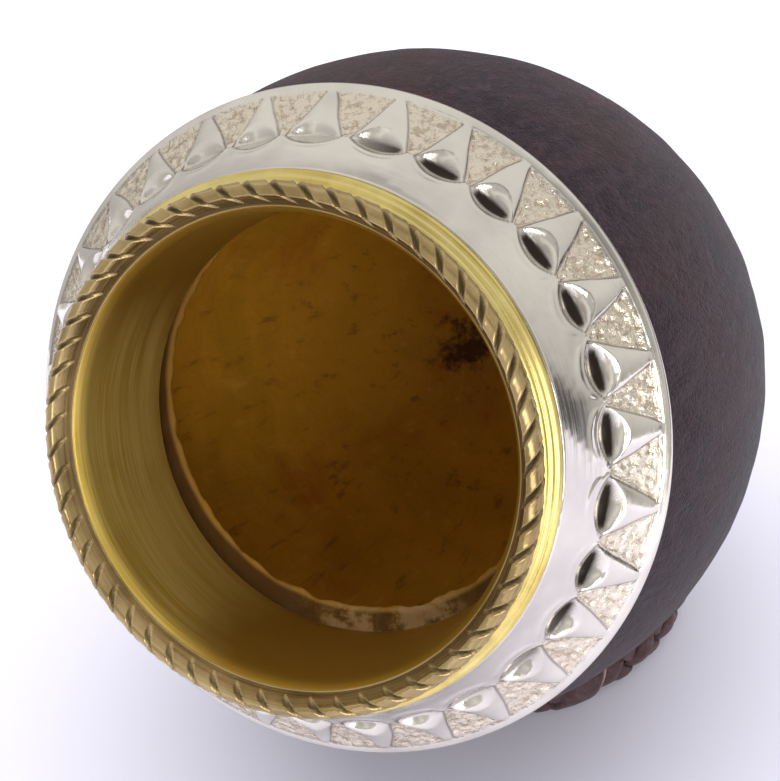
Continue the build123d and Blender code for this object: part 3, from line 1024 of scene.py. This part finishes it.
def makeFloor():
    half = stage["floorSize"] / 2
    mesh = bpy.data.meshes.new("floor")
    corners = [(-half, -half, 0), (half, -half, 0), (half, half, 0), (-half, half, 0)]
    mesh.from_pydata(corners, [], [(0, 1, 2, 3)])
    floor = bpy.data.objects.new("floor", mesh)
    bpy.context.scene.collection.objects.link(floor)
    material, tree, shader = newFinish("paleFloor")
    shader.inputs["Base Color"].default_value = stage["floorColour"] + (1.0,)
    shader.inputs["Roughness"].default_value = 0.9
    shader.inputs["Specular IOR Level"].default_value = 0.0
    # the floor fades into the white room away from the cup
    spot = addNode(tree, "ShaderNodeTexCoord").outputs["Object"]
    away = vectorCalc(tree, "LENGTH", spot, out="Value")
    glow = fade(tree, away, stage["fadeFrom"], stage["fadeTo"], stage["floorGlow"], stage["farGlow"])
    glow = calc(tree, "MULTIPLY", glow, seenOrMirrored(tree))
    shader.inputs["Emission Color"].default_value = (1, 1, 1, 1)
    tree.links.new(glow, shader.inputs["Emission Strength"])
    mesh.materials.append(material)


def makeSky():
    world = bpy.data.worlds.new("studio")
    bpy.context.scene.world = world
    world.use_nodes = True
    tree = world.node_tree
    background = tree.nodes["Background"]
    path = addNode(tree, "ShaderNodeLightPath").outputs
    direction = addNode(tree, "ShaderNodeTexCoord").outputs["Generated"]
    parts = addNode(tree, "ShaderNodeSeparateXYZ", {"Vector": direction}).outputs
    rise, east = parts["Z"], parts["X"]
    mirrored = fade(tree, rise, -0.1, 0.8, 0.72, 1.05)
    # a low dark wall with a slatted blind stands behind the cup, for the chased hollows to mirror
    toWall = vectorCalc(tree, "DOT_PRODUCT", direction, stage["wallTowards"], out="Value")
    inputs = {"Vector": direction, "Scale": stage["slatScale"]}
    slats = addNode(tree, "ShaderNodeTexWave", inputs, bands_direction="X")
    posts = addNode(tree, "ShaderNodeTexWave", inputs, bands_direction="Z")
    weave = calc(tree, "MULTIPLY", slats.outputs["Fac"], posts.outputs["Fac"])
    gap = calc(tree, "MULTIPLY_ADD", fade(tree, weave, 0.2, 0.5), -0.8, 1.0)
    gap = calc(tree, "MAXIMUM", gap, fade(tree, rise, 0.10, 0.04))
    top = calc(tree, "SUBTRACT", rise, calc(tree, "MULTIPLY_ADD", east, -0.58, 0.66))
    wall = calc(tree, "MULTIPLY", fade(tree, toWall, 0.35, 0.75), fade(tree, top, 0.0, -0.07))
    wall = calc(tree, "MULTIPLY", wall, gap)
    lit = calc(tree, "MULTIPLY_ADD", wall, -stage["wallDarkness"], 1.0)
    mirrored = calc(tree, "MULTIPLY", mirrored, lit)
    # and whoever holds the camera dims the room in front of the mouth
    toFront = vectorCalc(tree, "DOT_PRODUCT", direction, stage["personTowards"], out="Value")
    lit = fade(tree, toFront, 0.72, 0.95, 1.0, stage["personLight"])
    mirrored = calc(tree, "MULTIPLY", mirrored, lit)
    mirrored = calc(tree, "MULTIPLY", mirrored, stage["mirrorStrength"])
    room = calc(tree, "MULTIPLY", fade(tree, rise, -0.2, 0.9, 0.7, 1.15), stage["roomStrength"])
    strength = addNode(tree, "ShaderNodeMix", data_type="FLOAT")
    tree.links.new(path["Is Glossy Ray"], strength.inputs[0])
    tree.links.new(room, strength.inputs[2])
    tree.links.new(mirrored, strength.inputs[3])
    strength = calc(tree, "MAXIMUM", strength.outputs[0], path["Is Camera Ray"])
    tint = blendColour(tree, path["Is Glossy Ray"], stage["roomColour"], stage["skyColour"])
    tint = blendColour(tree, path["Is Camera Ray"], tint, (1.0, 1.0, 1.0))
    tree.links.new(tint, background.inputs["Color"])
    tree.links.new(strength, background.inputs["Strength"])


def makeLamp(name, settings):
    # a square lamp that faces the cup; the metal may mirror it or not
    data = bpy.data.lights.new(name, "AREA")
    data.energy = settings["power"]
    data.size = settings["size"]
    data.color = settings["colour"]
    lamp = bpy.data.objects.new(name, data)
    bpy.context.scene.collection.objects.link(lamp)
    lamp.location = settings["spot"]
    lamp.visible_glossy = settings["mirrored"]
    lamp.rotation_euler = (bodyCentre - lamp.location).to_track_quat("-Z", "Y").to_euler()


view = {
    "aim": (-5.07 * mm, -2.67 * mm, 50.74 * mm),   # the point in the middle of the frame
    "distance": 204.4 * mm,
    "turn": -25.63, "down": 34.62, "roll": -8.0,   # degrees
    "lens": 36.0 * 1400 / 780,
}


def makeCamera():
    data = bpy.data.cameras.new("camera")
    data.lens = view["lens"]
    data.sensor_width = 36.0
    data.clip_start = 0.005
    camera = bpy.data.objects.new("camera", data)
    bpy.context.scene.collection.objects.link(camera)
    turn = Matrix.Rotation(radians(-view["turn"]), 4, "Z")
    turn = turn @ Matrix.Rotation(radians(90 - view["down"]), 4, "X")
    turn = turn @ Matrix.Rotation(radians(view["roll"]), 4, "Z")
    back = Matrix.Translation((0, 0, view["distance"]))
    camera.matrix_world = Matrix.Translation(view["aim"]) @ turn @ back
    bpy.context.scene.camera = camera


print("setting the stage")
makeFloor()
makeSky()
for lampName, settings in lamps.items():
    makeLamp(lampName, settings)
makeCamera()
bpy.context.scene.view_settings.view_transform = "Standard"

bpy.context.view_layer.update()
